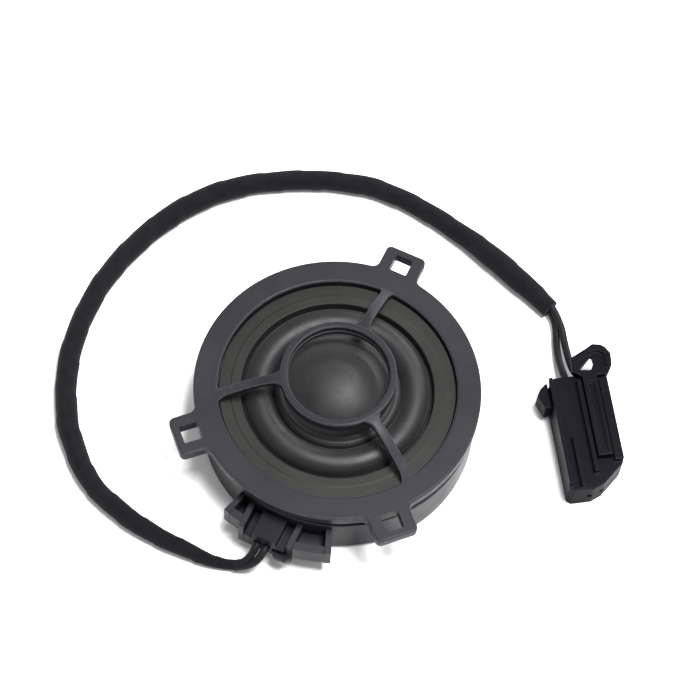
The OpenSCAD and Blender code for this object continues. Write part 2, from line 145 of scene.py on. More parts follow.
def rounded(corners, steps=5):
    """A closed outline from (x, y, radius) corners, each rounded to its own radius."""
    outline = []
    count = len(corners)
    for i, (x, y, radius) in enumerate(corners):
        here = Vector((x, y))
        if radius <= 0:
            outline.append((x, y))
            continue
        before = (Vector(corners[i - 1][:2]) - here).normalized()
        after = (Vector(corners[(i + 1) % count][:2]) - here).normalized()
        half = before.angle(after) / 2
        reach = radius / math.tan(half)
        middle = here + (before + after).normalized() * (radius / math.sin(half))
        start = here + before * reach - middle
        end = here + after * reach - middle
        sweep = math.copysign(math.pi - 2 * half, start.cross(end))
        for k in range(steps + 1):
            outline.append(tuple(middle + Matrix.Rotation(sweep * k / steps, 2) @ start))
    return outline


def revolve(name, profile, steps=240):
    """A solid of revolution about Z from a closed (r, z) profile in millimetres."""
    points, rings = [], []
    for k in range(steps):
        a = 2 * math.pi * k / steps
        rings.append([])
        for r, z in profile:
            if r <= 1e-6 and k > 0:
                rings[k].append(rings[0][len(rings[k])])
                continue
            rings[k].append(len(points))
            points.append((r * math.cos(a) * MM, r * math.sin(a) * MM, z * MM))
    faces = []
    count = len(profile)
    for k in range(steps):
        one, two = rings[k], rings[(k + 1) % steps]
        for i in range(count):
            j = (i + 1) % count
            corners = []
            for v in (one[i], two[i], two[j], one[j]):
                if v not in corners:
                    corners.append(v)
            if len(corners) > 2:
                faces.append(corners)
    return add_object(name, mesh_from(name, points, faces))


def plate(name, outer, holes, low, high, edge):
    """A flat plate between two heights with rounded edges, from outlines already inset by edge."""
    curve = bpy.data.curves.new(name, "CURVE")
    curve.dimensions = "2D"
    curve.fill_mode = "BOTH"
    curve.extrude = ((high - low) / 2 - edge) * MM
    curve.bevel_depth = edge * MM
    curve.bevel_resolution = 4
    for outline in [outer] + holes:
        spline = curve.splines.new("POLY")
        spline.points.add(len(outline) - 1)
        spline.use_cyclic_u = True
        for point, (x, y) in zip(spline.points, outline):
            point.co = (x * MM, y * MM, 0, 1)
    obj = baked(add_object(name, curve))
    weld = bmesh.new()
    weld.from_mesh(obj.data)
    bmesh.ops.remove_doubles(weld, verts=weld.verts, dist=WELD)
    bmesh.ops.dissolve_degenerate(weld, edges=weld.edges, dist=WELD / 4)
    bmesh.ops.recalc_face_normals(weld, faces=weld.faces)
    bmesh.ops.translate(weld, verts=weld.verts, vec=(0, 0, (low + high) / 2 * MM))
    weld.to_mesh(obj.data)
    weld.free()
    return obj


def loft(name, rings):
    """A capped skin over closed rings of the same number of points, in metres."""
    count = len(rings[0])
    points = [tuple(p) for ring in rings for p in ring]
    faces = []
    for i in range(len(rings) - 1):
        for k in range(count):
            n = (k + 1) % count
            faces.append((i * count + k, i * count + n, (i + 1) * count + n, (i + 1) * count + k))
    faces.append(tuple(range(count)))
    faces.append(tuple((len(rings) - 1) * count + k for k in range(count)))
    return add_object(name, mesh_from(name, points, faces))


def spline_through(route, per_span):
    """Catmull-Rom points through a route of tuples of any length, in order."""
    line = [Vector(p) for p in route]
    line = [line[0] * 2 - line[1]] + line + [line[-1] * 2 - line[-2]]
    out = []
    for i in range(1, len(line) - 2):
        a, b, c, d = line[i - 1:i + 3]
        for k in range(per_span):
            t = k / per_span
            out.append(0.5 * ((2 * b) + (c - a) * t + (2 * a - 5 * b + 4 * c - d) * t ** 2
                              + (3 * b - a - 3 * c + d) * t ** 3))
    out.append(line[-2])
    return out


def tube_rings(centres, radius_at, sides):
    """Rings round a line of centres; radius_at(distance along, turn, index) sets their radius."""
    rings = []
    run = 0.0
    for i, here in enumerate(centres):
        before = centres[max(i - 1, 0)]
        after = centres[min(i + 1, len(centres) - 1)]
        if i:
            run += (here - before).length
        along = (after - before).normalized()
        side = Vector((0, 0, 1)).cross(along).normalized()
        up = along.cross(side)
        ring = []
        for k in range(sides):
            a = 2 * math.pi * k / sides
            ring.append(here + (side * math.cos(a) + up * math.sin(a)) * radius_at(run, a, i))
        rings.append(ring)
    return rings


def block(low, high):
    """A closed box between two corners in millimetres."""
    points = [(x * MM, y * MM, z * MM) for x in (low[0], high[0]) for y in (low[1], high[1])
              for z in (low[2], high[2])]
    faces = [(0, 1, 3, 2), (4, 6, 7, 5), (0, 4, 5, 1), (2, 3, 7, 6), (0, 2, 6, 4), (1, 5, 7, 3)]
    return add_object("block", mesh_from("block", points, faces))


def prism(outline, low, high):
    """A closed prism over an outline in millimetres."""
    count = len(outline)
    points = [(x * MM, y * MM, z * MM) for z in (low, high) for x, y in outline]
    faces = [tuple(range(count)), tuple(range(count, 2 * count))]
    faces += [(k, (k + 1) % count, count + (k + 1) % count, count + k) for k in range(count)]
    return add_object("prism", mesh_from("prism", points, faces))


def sector(start, end, inner, outer, low, high):
    """A closed sector of a ring, angles in degrees and sizes in millimetres."""
    steps = max(4, int(abs(end - start) / 1.5))
    outline = arc((0, 0), outer, start, end, steps) + arc((0, 0), inner, end, start, steps)
    return prism(outline, low, high)


# ---------------------------------------------------------------- the harness cord

# x, y, z and radius, in metres
LOOM_ROUTE = [
    (-0.0036, -0.0373, 0.00125, 0.00125), (-0.0059, -0.0381, 0.0012, 0.0012),
    (-0.0087, -0.0386, 0.0014, 0.0014), (-0.012, -0.0388, 0.00165, 0.00165),
    (-0.016, -0.0388, 0.00185, 0.00185), (-0.02, -0.0387, 0.0019, 0.0019),
    (-0.025, -0.0381, 0.00205, 0.00205), (-0.03, -0.0369, 0.0021, 0.0021),
    (-0.035, -0.0351, 0.0021, 0.0021), (-0.039, -0.0326, 0.00215, 0.00215),
    (-0.0427, -0.0292, 0.00225, 0.00225), (-0.0464, -0.0251, 0.0023, 0.0023),
    (-0.0497, -0.0196, 0.0023, 0.0023), (-0.0523, -0.0138, 0.0023, 0.0023),
    (-0.054, -0.0077, 0.00225, 0.00225), (-0.0548, -0.0016, 0.00225, 0.00225),
    (-0.0549, 0.0049, 0.00225, 0.00225), (-0.0541, 0.0116, 0.0023, 0.0023),
    (-0.0524, 0.0184, 0.0023, 0.0023), (-0.0499, 0.0249, 0.00235, 0.00235),
    (-0.0465, 0.0309, 0.00235, 0.00235), (-0.0423, 0.0362, 0.0023, 0.0023),
    (-0.037, 0.0409, 0.0022, 0.0022), (-0.0307, 0.0448, 0.0022, 0.0022),
    (-0.0236, 0.0481, 0.00215, 0.00215), (-0.016, 0.0504, 0.00215, 0.00215),
    (-0.009, 0.0509, 0.0021, 0.0021), (-0.0018, 0.0502, 0.0021, 0.0021),
    (0.0058, 0.0486, 0.0022, 0.0022), (0.0134, 0.0464, 0.00245, 0.00245),
    (0.0199, 0.0441, 0.00245, 0.00245), (0.0255, 0.0421, 0.0022, 0.0022),
    (0.0295, 0.0405, 0.002, 0.002),
]
WIRE_ROUTES = {
    "plug_wire_left": [
        (-0.0012, -0.033, 0.0056), (-0.00125, -0.0342, 0.0052), (-0.0016, -0.0356, 0.0041),
        (-0.0025, -0.0367, 0.0028), (-0.004, -0.0373, 0.0017)],
    "plug_wire_right": [
        (0.0006, -0.033, 0.0056), (0.0005, -0.0343, 0.0053), (0, -0.0359, 0.0044),
        (-0.0013, -0.037, 0.003), (-0.0036, -0.0379, 0.0015)],
    "connector_wire_left": [
        (0.0289, 0.0407, 0.0016), (0.0307, 0.0391, 0.0015), (0.0322, 0.037, 0.0014),
        (0.0336, 0.034, 0.0013), (0.0352, 0.031, 0.0017), (0.037, 0.0283, 0.0025),
        (0.0382, 0.0268, 0.0029), (0.03931, 0.02512, 0.003)],
    "connector_wire_right": [
        (0.0293, 0.0409, 0.0028), (0.0312, 0.0393, 0.0026), (0.0332, 0.0372, 0.0024),
        (0.035, 0.0346, 0.0021), (0.0368, 0.032, 0.0023), (0.0386, 0.0296, 0.0028),
        (0.0402, 0.0282, 0.003), (0.04149, 0.02654, 0.003)],
}
WIRE_RADIUS = 0.00075
TAPE_PITCH = 0.0082      # advance of the tape for one turn round the loom
TAPE_STEP = 0.00016      # height of one tape edge over the turn below
TAPE_RISE = 0.9          # share of a turn over which the tape climbs before its edge
LUMPS, NAP = 0.045, 0.00003
ABOVE_FLOOR = 0.00002    # the loom's underside is pressed flat this far over the floor


def tape_relief(run, turn):
    """Height of the overlapping tape at a distance along the loom and an angle round it."""
    phase = (run / TAPE_PITCH + turn / (2 * math.pi)) % 1.0
    ramp = phase / TAPE_RISE if phase < TAPE_RISE else (1 - phase) / (1 - TAPE_RISE)
    return TAPE_STEP * (ramp - 0.5)


def make_loom():
    """The taped loom: a tube whose overlapping tape turns and lumps are real relief."""
    line = spline_through(LOOM_ROUTE, 12)
    centres = [Vector(p[:3]) for p in line]

    def radius_at(run, turn, i):
        here = centres[i]
        across, up = math.cos(turn), math.sin(turn)
        lump = noise.noise(Vector((run * 140, across * 0.8, up * 0.8)))
        nap = noise.noise(Vector((run * 900, across * 3.4, up * 3.4)) + here * 40)
        size = (line[i][3] - TAPE_STEP) * (1 + LUMPS * lump)
        size += tape_relief(run, turn) + NAP * nap
        room = here.z - ABOVE_FLOOR
        if -up * size > room:
            size = room / max(-up, 0.01)
        return size

    rings = tube_rings(centres, radius_at, 64)
    for end in (0, -1):
        middle = centres[end]
        nose = [middle + (p - middle) * 0.62 for p in rings[end]]
        rings.insert(0 if end == 0 else len(rings), nose)
    loom = loft("taped_loom_sleeve", rings)
    shade(loom, 60, weighted=False)
    return loom, centres


def make_wire(name, route):
    centres = [Vector(p) for p in spline_through(route, 8)]
    rings = tube_rings(centres, lambda run, turn, i: WIRE_RADIUS, 20)
    wire = loft(name + "_skin", rings)
    return shade(wire, 50, weighted=False)


make_camera()
loom, loom_line = make_loom()
wires = {name: make_wire(name, route) for name, route in WIRE_ROUTES.items()}

# ---------------------------------------------------------------- front grille

RING_R, OPENING_R = 28.0, 23.3
PLATE_LOW, FACE_Z = 11.6, 14.0
PLATE_EDGE = 0.4
EAR_ANGLES = (90, 225, 315)
EAR_HALF, EAR_REACH, EAR_CORNER, EAR_FILLET = 4.2, 33.3, 1.1, 1.5
EAR_PITCH_R, EAR_HOLE = 30.0, 3.6
SPOKE_ANGLES = (90, 210, 330)
SPOKE_HALF, SPOKE_T, SPOKE_EDGE = 0.95, 1.5, 0.3
SPOKE_FOOT_R, SPOKE_HEAD_R = 23.6, 10.7
FOOT_FLARE_R, HEAD_FLARE_R, FLARE_LEN = 21.6, 13.1, 2.2
CROWN_R, CROWN_HOLE_R, CROWN_Z, CROWN_T = 11.25, 9.9, 20.0, 2.4
LEDGE_W, LEDGE_H = 0.22, 1.0      # the step inside the crown's lower edge


def turned(points, degrees):
    """Points in a plane, turned about the origin."""
    c, s = math.cos(math.radians(degrees)), math.sin(math.radians(degrees))
    return [(x * c - y * s, x * s + y * c) for x, y in points]


def ring_outline(edge):
    """The ring plate's outline with its three ears, drawn inside the true edge by edge."""
    radius, half = RING_R - edge, EAR_HALF - edge
    reach, corner, fillet = EAR_REACH - edge, EAR_CORNER - edge, EAR_FILLET + edge
    side = half + fillet
    out = math.sqrt((radius + fillet) ** 2 - side ** 2)
    meet = math.degrees(math.atan2(side, out))
    steps = 8
    ear = arc((out, -side), fillet, 180 - meet, 90, steps)
    ear += arc((reach - corner, -half + corner), corner, -90, 0, steps)
    ear += arc((reach - corner, half - corner), corner, 0, 90, steps)
    ear += arc((out, side), fillet, 270, 180 + meet, steps)
    outline = []
    for i, angle in enumerate(EAR_ANGLES):
        outline += turned(ear, angle)
        following = EAR_ANGLES[(i + 1) % 3] + (360 if i == 2 else 0)
        span = following - angle - 2 * meet
        between = arc((0, 0), radius, angle + meet, angle + meet + span, int(span / 1.5))
        outline += between[1:-1]
    return outline


def cut(obj, tool, operation="DIFFERENCE"):
    """obj with tool cut from it or joined to it; the tool is used up."""
    change = obj.modifiers.new("cut", "BOOLEAN")
    change.operation = operation
    change.solver = "MANIFOLD"
    change.object = tool
    obj = baked(obj)
    mesh = tool.data
    bpy.data.objects.remove(tool)
    bpy.data.meshes.remove(mesh)
    return obj


def spoke_top(r):
    """Height of a spoke's upper side at a radius: steep at the ring, level at the crown."""
    t = min(1, max(0, (SPOKE_FOOT_R - r) / (SPOKE_FOOT_R - CROWN_R + 0.6)))
    return FACE_Z + (CROWN_Z - FACE_Z - 0.2) * (1 - (1 - t) ** 1.8)


def spoke(degrees):
    """One arched spoke with a flare where it meets each ring."""
    steps = 48
    rings = []
    for i in range(steps + 1):
        r = SPOKE_HEAD_R + (SPOKE_FOOT_R - SPOKE_HEAD_R) * i / steps
        half = SPOKE_HALF
        half += 0.9 * max(0, (r - FOOT_FLARE_R) / FLARE_LEN) ** 2
        half += 1.1 * max(0, (HEAD_FLARE_R - r) / FLARE_LEN) ** 2.2
        top = spoke_top(r) - 0.03
        low = max(top - SPOKE_T, PLATE_LOW + 0.3)
        e = SPOKE_EDGE
        section = rounded([(-half, low, e), (half, low, e), (half, top, e), (-half, top, e)], 4)
        rings.append([Vector((r, x, z)) * MM for x, z in section])
    obj = loft("spoke", rings)
    obj.data.transform(Matrix.Rotation(math.radians(degrees), 4, "Z"))
    return obj


def make_grille():
    """The ring plate with its eared holes, joined to the spokes and the raised centre ring."""
    plate_obj = plate("front_grille_moulding", ring_outline(PLATE_EDGE),
                      [arc((0, 0), OPENING_R + PLATE_EDGE, 0, 358.5, 239)],
                      PLATE_LOW, FACE_Z, PLATE_EDGE)
    near, far, half = EAR_PITCH_R - EAR_HOLE / 2, EAR_PITCH_R + EAR_HOLE / 2, EAR_HOLE / 2
    corner = 0.25
    hole = rounded([(near, -half, corner), (far, -half, corner),
                    (far, half, corner), (near, half, corner)], 4)
    for angle in EAR_ANGLES:
        plate_obj = cut(plate_obj, prism(turned(hole, angle), PLATE_LOW - 1, FACE_Z + 1))
    low = CROWN_Z - CROWN_T
    ledge_r, ledge_z = CROWN_HOLE_R - LEDGE_W, low + LEDGE_H
    crown = revolve("crown", rounded([
        (ledge_r, low, 0.15), (CROWN_R, low, 0.2), (CROWN_R, CROWN_Z, 0.4),
        (CROWN_HOLE_R, CROWN_Z, 0.3), (CROWN_HOLE_R, ledge_z, 0.08),
        (ledge_r, ledge_z, 0.08)], 6), 192)
    for angle in SPOKE_ANGLES:
        crown = cut(crown, spoke(angle), "UNION")
    return outline_flats(shade(cut(plate_obj, crown, "UNION"), 40))


# ---------------------------------------------------------------- driver

FRAME_FACE_R, FRAME_STEP_R, FRAME_FACE_Z = 23.1, 20.6, 12.9
FRAME_LIP_R, FRAME_SEAT_R = 25.0, 15.4
ROLL_OUT_R, ROLL_IN_R, ROLL_CREST_Z, ROLL_FOOT_Z, ROLL_T = 18.3, 12.1, 14.1, 11.4, 0.35
DOME_R, DOME_BASE_Z, DOME_H, DOME_T = 10.45, 13.2, 4.6, 0.35


def make_frame():
    """The driver's plastic frame, whose front annulus has a fine step and a raised lip."""
    inner = 13.3
    profile = rounded([
        (inner, 6.2, 0.1), (FRAME_SEAT_R, 6.2, 0.3), (FRAME_SEAT_R, 9.2, 0.3),
        (FRAME_FACE_R, 9.2, 0.2), (FRAME_FACE_R, 10, 0.1),
        (FRAME_LIP_R, 10, 0.1), (FRAME_LIP_R, 11.3, 0.1), (FRAME_FACE_R, 11.3, 0.1),
        (FRAME_FACE_R, 12.75, 0.25), (FRAME_STEP_R + 0.3, 12.8, 0.2),
        (FRAME_STEP_R, FRAME_FACE_Z, 0.2), (18.85, FRAME_FACE_Z, 0.25),
        (18.6, 11, 0.1), (inner, 11, 0.1)], 5)
    return shade(revolve("driver_frame_moulding", profile), 40)


def make_surround():
    """The pressed cloth half roll with a flat outer flange and a stepped neck at the dome."""
    middle = (ROLL_OUT_R + ROLL_IN_R) / 2 + 0.05
    half = (ROLL_OUT_R - ROLL_IN_R) / 2 - 0.35
    rise = ROLL_CREST_Z - ROLL_FOOT_Z - 0.25
    flange = 18.55
    top = [(flange, 11.05), (flange, 11.3), (ROLL_OUT_R, ROLL_FOOT_Z), (18.1, 11.55)]
    steps = 28
    for i in range(1, steps):
        a = math.pi * i / steps
        top.append((middle + half * math.cos(a), 11.6 + (rise + 0.05) * math.sin(a) ** 0.9))
    # The neck that climbs to the dome's collar, outside and then inside
    top += [(12.55, 12.0), (12.42, 12.18), (12.3, 12.5), (12.2, 12.85), (12.05, 13.0),
            (11.9, 13.02)]
    low = [(11.95, 12.72), (12.0, 12.3), (12.15, 11.75), (12.35, 11.45)]
    for i in range(steps - 1, 0, -1):
        a = math.pi * i / steps
        low.append((middle + (half - ROLL_T) * math.cos(a),
                    11.45 + (rise - ROLL_T + 0.1) * math.sin(a) ** 0.9))
    low += [(17.9, 11.05)]
    return shade(revolve("surround_cloth", top + low), 50, weighted=False)


def make_dome():
    """The coated cloth cap with a pressed rim and the collar that meets the surround."""
    radius = (DOME_R ** 2 + DOME_H ** 2) / (2 * DOME_H)
    half = math.asin(DOME_R / radius)
    apex = DOME_BASE_Z + DOME_H
    steps = 40
    top = [(radius * math.sin(half * i / steps), apex - radius * (1 - math.cos(half * i / steps)))
           for i in range(steps + 1)]
    # The pressed rim outside the cap, then its underside
    rim = [(10.6, 13.12), (10.8, 13.1), (11.1, 13.2), (11.4, 13.28), (11.7, 13.26), (11.9, 13.18),
           (11.98, 13.05), (11.98, 12.92), (11.9, 12.9), (9.9, 12.9), (9.9, 13.0)]
    inside = [((radius - DOME_T) * math.sin(half * i / steps),
               apex - radius + (radius - DOME_T) * math.cos(half * i / steps))
              for i in range(steps - 1, -1, -1)]
    return shade(revolve("dome_cloth", top + rim + inside), 50, weighted=False)


# ---------------------------------------------------------------- rear housing

HOUSING_R, HOUSING_TOP, HOUSING_FLOOR = 26.9, 10.4, 1.6
HOUSING_SHIFT, SHIFT_HEADING = 1.1, -35
RECESS_R, RECESS_D = 11.0, 0.25   # the shallow round recess in the back
NECK_R, NECK_BORE, NECK_START = 26.2, 25.2, 5.0
POST_ANGLES, POST_HALF = (15, 55, 125, 165, 215, 325), 0.8
SOCKET_X, SOCKET_MOUTH_Y, SOCKET_ROOT_Y, RAIL_T = 5.6, -32.6, -25.5, 1.1
SOCKET_LOW, SOCKET_TOP, SOCKET_FLOOR_T = 2.2, 9.0, 1.2
GUARD_ROOT_R, GUARD_LOW, GUARD_T, GUARD_DROP, GUARD_LIP = 25.7, 4.4, 1.6, 0.4, 0.1
GUARD_END = 2.2                   # degrees covered by a guard's end wall
PIN_X, PIN_Z, PIN_HALF = (-1.2, 0.6), 5.6, 0.32


def softened(obj, width):
    """obj with its sharp edges rounded."""
    bevel = obj.modifiers.new("round", "BEVEL")
    bevel.width = width * MM
    bevel.segments = 3
    bevel.limit_method = "ANGLE"
    bevel.angle_limit = math.radians(40)
    return baked(obj)


def guard(near, far, outer):
    """The wall, end wall and floor of the pocket from angle near, at a rail, to angle far."""
    back = math.copysign(1, near - far)
    reach = sorted((near, far + back))
    end = sorted((far, far + back * GUARD_END))
    return [
        sector(*reach, outer - GUARD_T, outer, GUARD_LOW, SOCKET_TOP - GUARD_DROP),
        sector(*end, GUARD_ROOT_R, outer + 0.08, GUARD_LOW - GUARD_LIP, SOCKET_TOP),
        sector(*reach, GUARD_ROOT_R, outer - GUARD_LIP, GUARD_LOW + GUARD_LIP, GUARD_LOW + 1),
    ]


def make_housing():
    """The rear cup with its plug socket, side guards and posts, fused into one moulding."""
    outside = rounded([
        (0, RECESS_D, 0), (RECESS_R, RECESS_D, 0.1), (RECESS_R + RECESS_D, 0, 0.1),
        (HOUSING_R, 0, 1.2),
        (HOUSING_R, HOUSING_TOP, 0.35), (0, HOUSING_TOP, 0)], 6)
    cup = revolve("rear_housing_moulding", outside)
    heading = math.radians(SHIFT_HEADING)
    shift = Vector((math.cos(heading), math.sin(heading), 0)) * HOUSING_SHIFT * MM
    cup.data.transform(Matrix.Translation(shift))
    neck = [(0, NECK_START), (NECK_R, NECK_START), (NECK_R, PLATE_LOW), (0, PLATE_LOW)]
    cup = cut(cup, revolve("neck", neck), "UNION")
    bore_top = PLATE_LOW + 1.4
    bore = rounded([(0, HOUSING_FLOOR, 0), (NECK_BORE, HOUSING_FLOOR, 0.6),
                    (NECK_BORE, bore_top, 0), (0, bore_top, 0)], 5)
    cup = cut(cup, revolve("bore", bore))
    for angle in POST_ANGLES:
        post = block((FRAME_FACE_R + 0.8, -POST_HALF, HOUSING_FLOOR - 0.1),
                     (NECK_BORE + 0.3, POST_HALF, 10))
        post.data.transform(Matrix.Rotation(math.radians(angle), 4, "Z"))
        cup = cut(cup, post, "UNION")
    corner = (-SOCKET_X, SOCKET_MOUTH_Y, SOCKET_LOW)
    socket = block(corner, (SOCKET_X, SOCKET_ROOT_Y, SOCKET_LOW + SOCKET_FLOOR_T))
    walls = [
        block(corner, (RAIL_T - SOCKET_X, SOCKET_ROOT_Y, SOCKET_TOP)),
        block((SOCKET_X - RAIL_T, SOCKET_MOUTH_Y, SOCKET_LOW),
              (SOCKET_X, SOCKET_ROOT_Y, SOCKET_TOP)),
        *guard(-80, -67, 32.9),
        *guard(-100, -107, 32.2),
    ]
    for wall in walls:
        socket = cut(socket, wall, "UNION")
    cup = cut(cup, softened(socket, 0.22), "UNION")
    for x in PIN_X:
        cup = cut(cup, block((x - PIN_HALF, -HOUSING_R - 1.7, PIN_Z - PIN_HALF),
                             (x + PIN_HALF, 1.5 - NECK_BORE, PIN_Z + PIN_HALF)))
    return outline_flats(shade(cup, 40))


grille = make_grille()
driver_frame = make_frame()
surround = make_surround()
dome = make_dome()
housing = make_housing()

# ---------------------------------------------------------------- plug and far connector

CONNECTOR_AT = (Matrix.Translation((0.040, 0.027, 0))
                @ Matrix.Rotation(math.radians(-57), 4, "Z"))


def moulded(name, node, voxel, place=None):
    """A CAD node's shape with its edges softened on a fine even mesh, in its own frame."""
    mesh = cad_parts[node].data.copy()
    mesh.materials.clear()
    if place:
        mesh.transform(place.inverted())
    obj = add_object(name, mesh)
    fuse = obj.modifiers.new("fuse", "REMESH")
    fuse.mode = "VOXEL"
    fuse.voxel_size = voxel * MM
    soften = obj.modifiers.new("soften", "SMOOTH")
    soften.factor = 0.5
    soften.iterations = 5
    obj = baked(obj)
    if place:
        obj.data.transform(place)
    obj.data.shade_smooth()
    return obj


plug = moulded("plug_moulding", "plug_body", 0.1)
plug_latch = moulded("plug_latch_moulding", "plug_latch", 0.08)
connector = moulded("connector_moulding", "connector_housing", 0.13, CONNECTOR_AT)
connector_latch = moulded("connector_latch_moulding", "connector_latch", 0.1, CONNECTOR_AT)
connector_lock = moulded("connector_lock_moulding", "connector_lock", 0.1, CONNECTOR_AT)

# ---------------------------------------------------------------- materials


class Nodes:
    """A material's node tree, with the few joins that the finishes here are made of."""

    def __init__(self, name, **shader):
        self.material = bpy.data.materials.new(name)
        self.material.use_nodes = True
        self.tree = self.material.node_tree
        self.shader = self.tree.nodes["Principled BSDF"]
        self.where = self.add("ShaderNodeTexCoord").outputs["Object"]
        for socket, value in shader.items():
            self.shader.inputs[socket.replace("_", " ")].default_value = value

    def add(self, kind, **sockets):
        node = self.tree.nodes.new(kind)
        for socket, value in sockets.items():
            node.inputs[socket.replace("_", " ")].default_value = value
        return node

    def link(self, one, two):
        self.tree.links.new(one, two)

    def noise(self, scale, detail=2.0, rough=0.5, where=None):
        node = self.add("ShaderNodeTexNoise", Scale=scale, Detail=detail, Roughness=rough)
        self.link(where or self.where, node.inputs["Vector"])
        return node.outputs["Fac"]

    def stretched(self, x, y, z):
        node = self.tree.nodes.new("ShaderNodeMapping")
        node.inputs["Scale"].default_value = (x, y, z)
        self.link(self.where, node.inputs["Vector"])
        return node.outputs["Vector"]

    def split(self, vector):
        node = self.add("ShaderNodeSeparateXYZ")
        self.link(vector, node.inputs["Vector"])
        return node.outputs

    def span(self, value, low, high, start=0.3, end=0.7):
        """value's range from start to end, spread over low to high and held there."""
        node = self.add("ShaderNodeMapRange", From_Min=start, From_Max=end,
                        To_Min=low, To_Max=high)
        self.link(value, node.inputs["Value"])
        return node.outputs["Result"]

    def colours(self, value, stops):
        node = self.tree.nodes.new("ShaderNodeValToRGB")
        ramp = node.color_ramp
        for i, (place, colour) in enumerate(stops):
            stop = ramp.elements[i] if i < 2 else ramp.elements.new(place)
            stop.position = place
            stop.color = (*colour, 1)
        self.link(value, node.inputs["Fac"])
        return node.outputs["Color"]

    def bump(self, height, distance, under=None):
        node = self.add("ShaderNodeBump", Distance=distance, Strength=1.0)
        self.link(height, node.inputs["Height"])
        if under:
            self.link(under, node.inputs["Normal"])
        return node.outputs["Normal"]

    def maths(self, operation, a, b=None):
        node = self.tree.nodes.new("ShaderNodeMath")
        node.operation = operation
        for i, value in enumerate((a, b)):
            if isinstance(value, (int, float)):
                node.inputs[i].default_value = value
            elif value is not None:
                self.link(value, node.inputs[i])
        return node.outputs[0]


def shades(colour, spread):
    """A dark and a light neighbour of a colour."""
    return [tuple(c * (1 - spread) for c in colour), tuple(c * (1 + spread) for c in colour)]


def plastic(name, colour, rough, gloss, grain=0.000012, grain_scale=3200, spread=0.12,
            edge_highlight=0.25):
    """Spark-textured moulded plastic: fine grain, faint flow shading and a painted highlight that
    lightens rounded edges.

    The painted highlight lies where the surface leans between level and upright.
    """
    n = Nodes(name, IOR=1.46, Specular_IOR_Level=gloss)
    flow = n.noise(60, 3)
    dark, light = shades(colour, spread)
    base = n.colours(flow, [(0.35, dark), (0.65, light)])
    # Painted highlight: edges that lean between level and upright get a lighter colour in place of
    # glints of light
    upward = n.split(n.add("ShaderNodeNewGeometry").outputs["Normal"])["Z"]
    slope = n.maths("MULTIPLY", upward, n.maths("SUBTRACT", 1, upward))
    edges = n.span(slope, 0, edge_highlight, 0.05, 0.22)
    highlighted = n.add("ShaderNodeMix")
    highlighted.data_type = "RGBA"
    n.link(n.maths("MULTIPLY", edges, n.span(n.noise(900, 3), 0.4, 1)), highlighted.inputs["Factor"])
    n.link(base, highlighted.inputs["A"])
    highlighted.inputs["B"].default_value = (*[min(1, c * 2.2 + 0.02) for c in colour], 1)
    n.link(highlighted.outputs["Result"], n.shader.inputs["Base Color"])
    patches = n.noise(180, 4)
    n.link(n.span(patches, rough - 0.05, rough + 0.06), n.shader.inputs["Roughness"])
    coarse = n.bump(n.noise(grain_scale * 0.3, 2), grain * 1.5)
    n.link(n.bump(n.noise(grain_scale, 3, 0.65), grain, under=coarse), n.shader.inputs["Normal"])
    return n.material


def cloth(name, colour, pitch, rough):
    """Fine plain-weave cloth with a doped coating that half fills the weave."""
    n = Nodes(name, IOR=1.42, Specular_IOR_Level=0.3, Sheen_Weight=0.05, Sheen_Roughness=0.5)
    where = n.split(n.where)
    wobble = n.maths("MULTIPLY", n.noise(700, 2), pitch * 0.9)
    turn = 2 * math.pi / pitch
    over, under = [
        n.maths("SINE", n.maths("MULTIPLY", n.maths("ADD", where[axis], wobble), turn))
        for axis in ("X", "Y")]
    weave = n.span(n.maths("MULTIPLY", over, under), 0, 1, -1, 1)
    coat = n.noise(260, 4)
    dark, light = shades(colour, 0.2)
    both = n.maths("ADD", n.maths("MULTIPLY", weave, 0.45), n.maths("MULTIPLY", coat, 0.55))
    n.link(n.colours(both, [(0.25, dark), (0.75, light)]), n.shader.inputs["Base Color"])
    n.link(n.span(coat, rough - 0.06, rough + 0.1), n.shader.inputs["Roughness"])
    soft = n.bump(coat, 0.00003)
    n.link(n.bump(weave, 0.00002, under=soft), n.shader.inputs["Normal"])
    return n.material


def fleece(name, colour):
    """Matt needle-fleece tape: short fibres in all directions over a cloudy pile."""
    n = Nodes(name, IOR=1.3, Sheen_Weight=0.05, Sheen_Roughness=0.5, Specular_IOR_Level=0.1)
    fibres = n.noise(5200, 4, 0.75)
    strands = n.noise(1, 3, 0.6, n.stretched(900, 2600, 1700))
    pile = n.noise(420, 4)
    both = n.maths("ADD", n.maths("MULTIPLY", fibres, 0.5), n.maths("MULTIPLY", pile, 0.5))
    dark, light = shades(colour, 0.4)
    n.link(n.colours(both, [(0.3, dark), (0.7, light)]), n.shader.inputs["Base Color"])
    n.link(n.span(pile, 0.88, 1.0), n.shader.inputs["Roughness"])
    lumps = n.bump(pile, 0.00009)
    fine = n.bump(strands, 0.00005, under=lumps)
    n.link(n.bump(fibres, 0.00004, under=fine), n.shader.inputs["Normal"])
    return n.material


def metal(name, colour, rough, grain=(300, 300, 300)):
    """Plated or drawn metal with a faint tarnish and fine working marks."""
    n = Nodes(name, Metallic=1.0)
    tarnish = n.noise(240, 5, 0.6)
    dark, light = shades(colour, 0.1)
    n.link(n.colours(tarnish, [(0.3, dark), (0.7, light)]), n.shader.inputs["Base Color"])
    marks = n.noise(1, 4, 0.6, n.stretched(*grain))
    n.link(n.span(marks, rough - 0.06, rough + 0.12), n.shader.inputs["Roughness"])
    n.link(n.bump(marks, 0.000008), n.shader.inputs["Normal"])
    return n.material


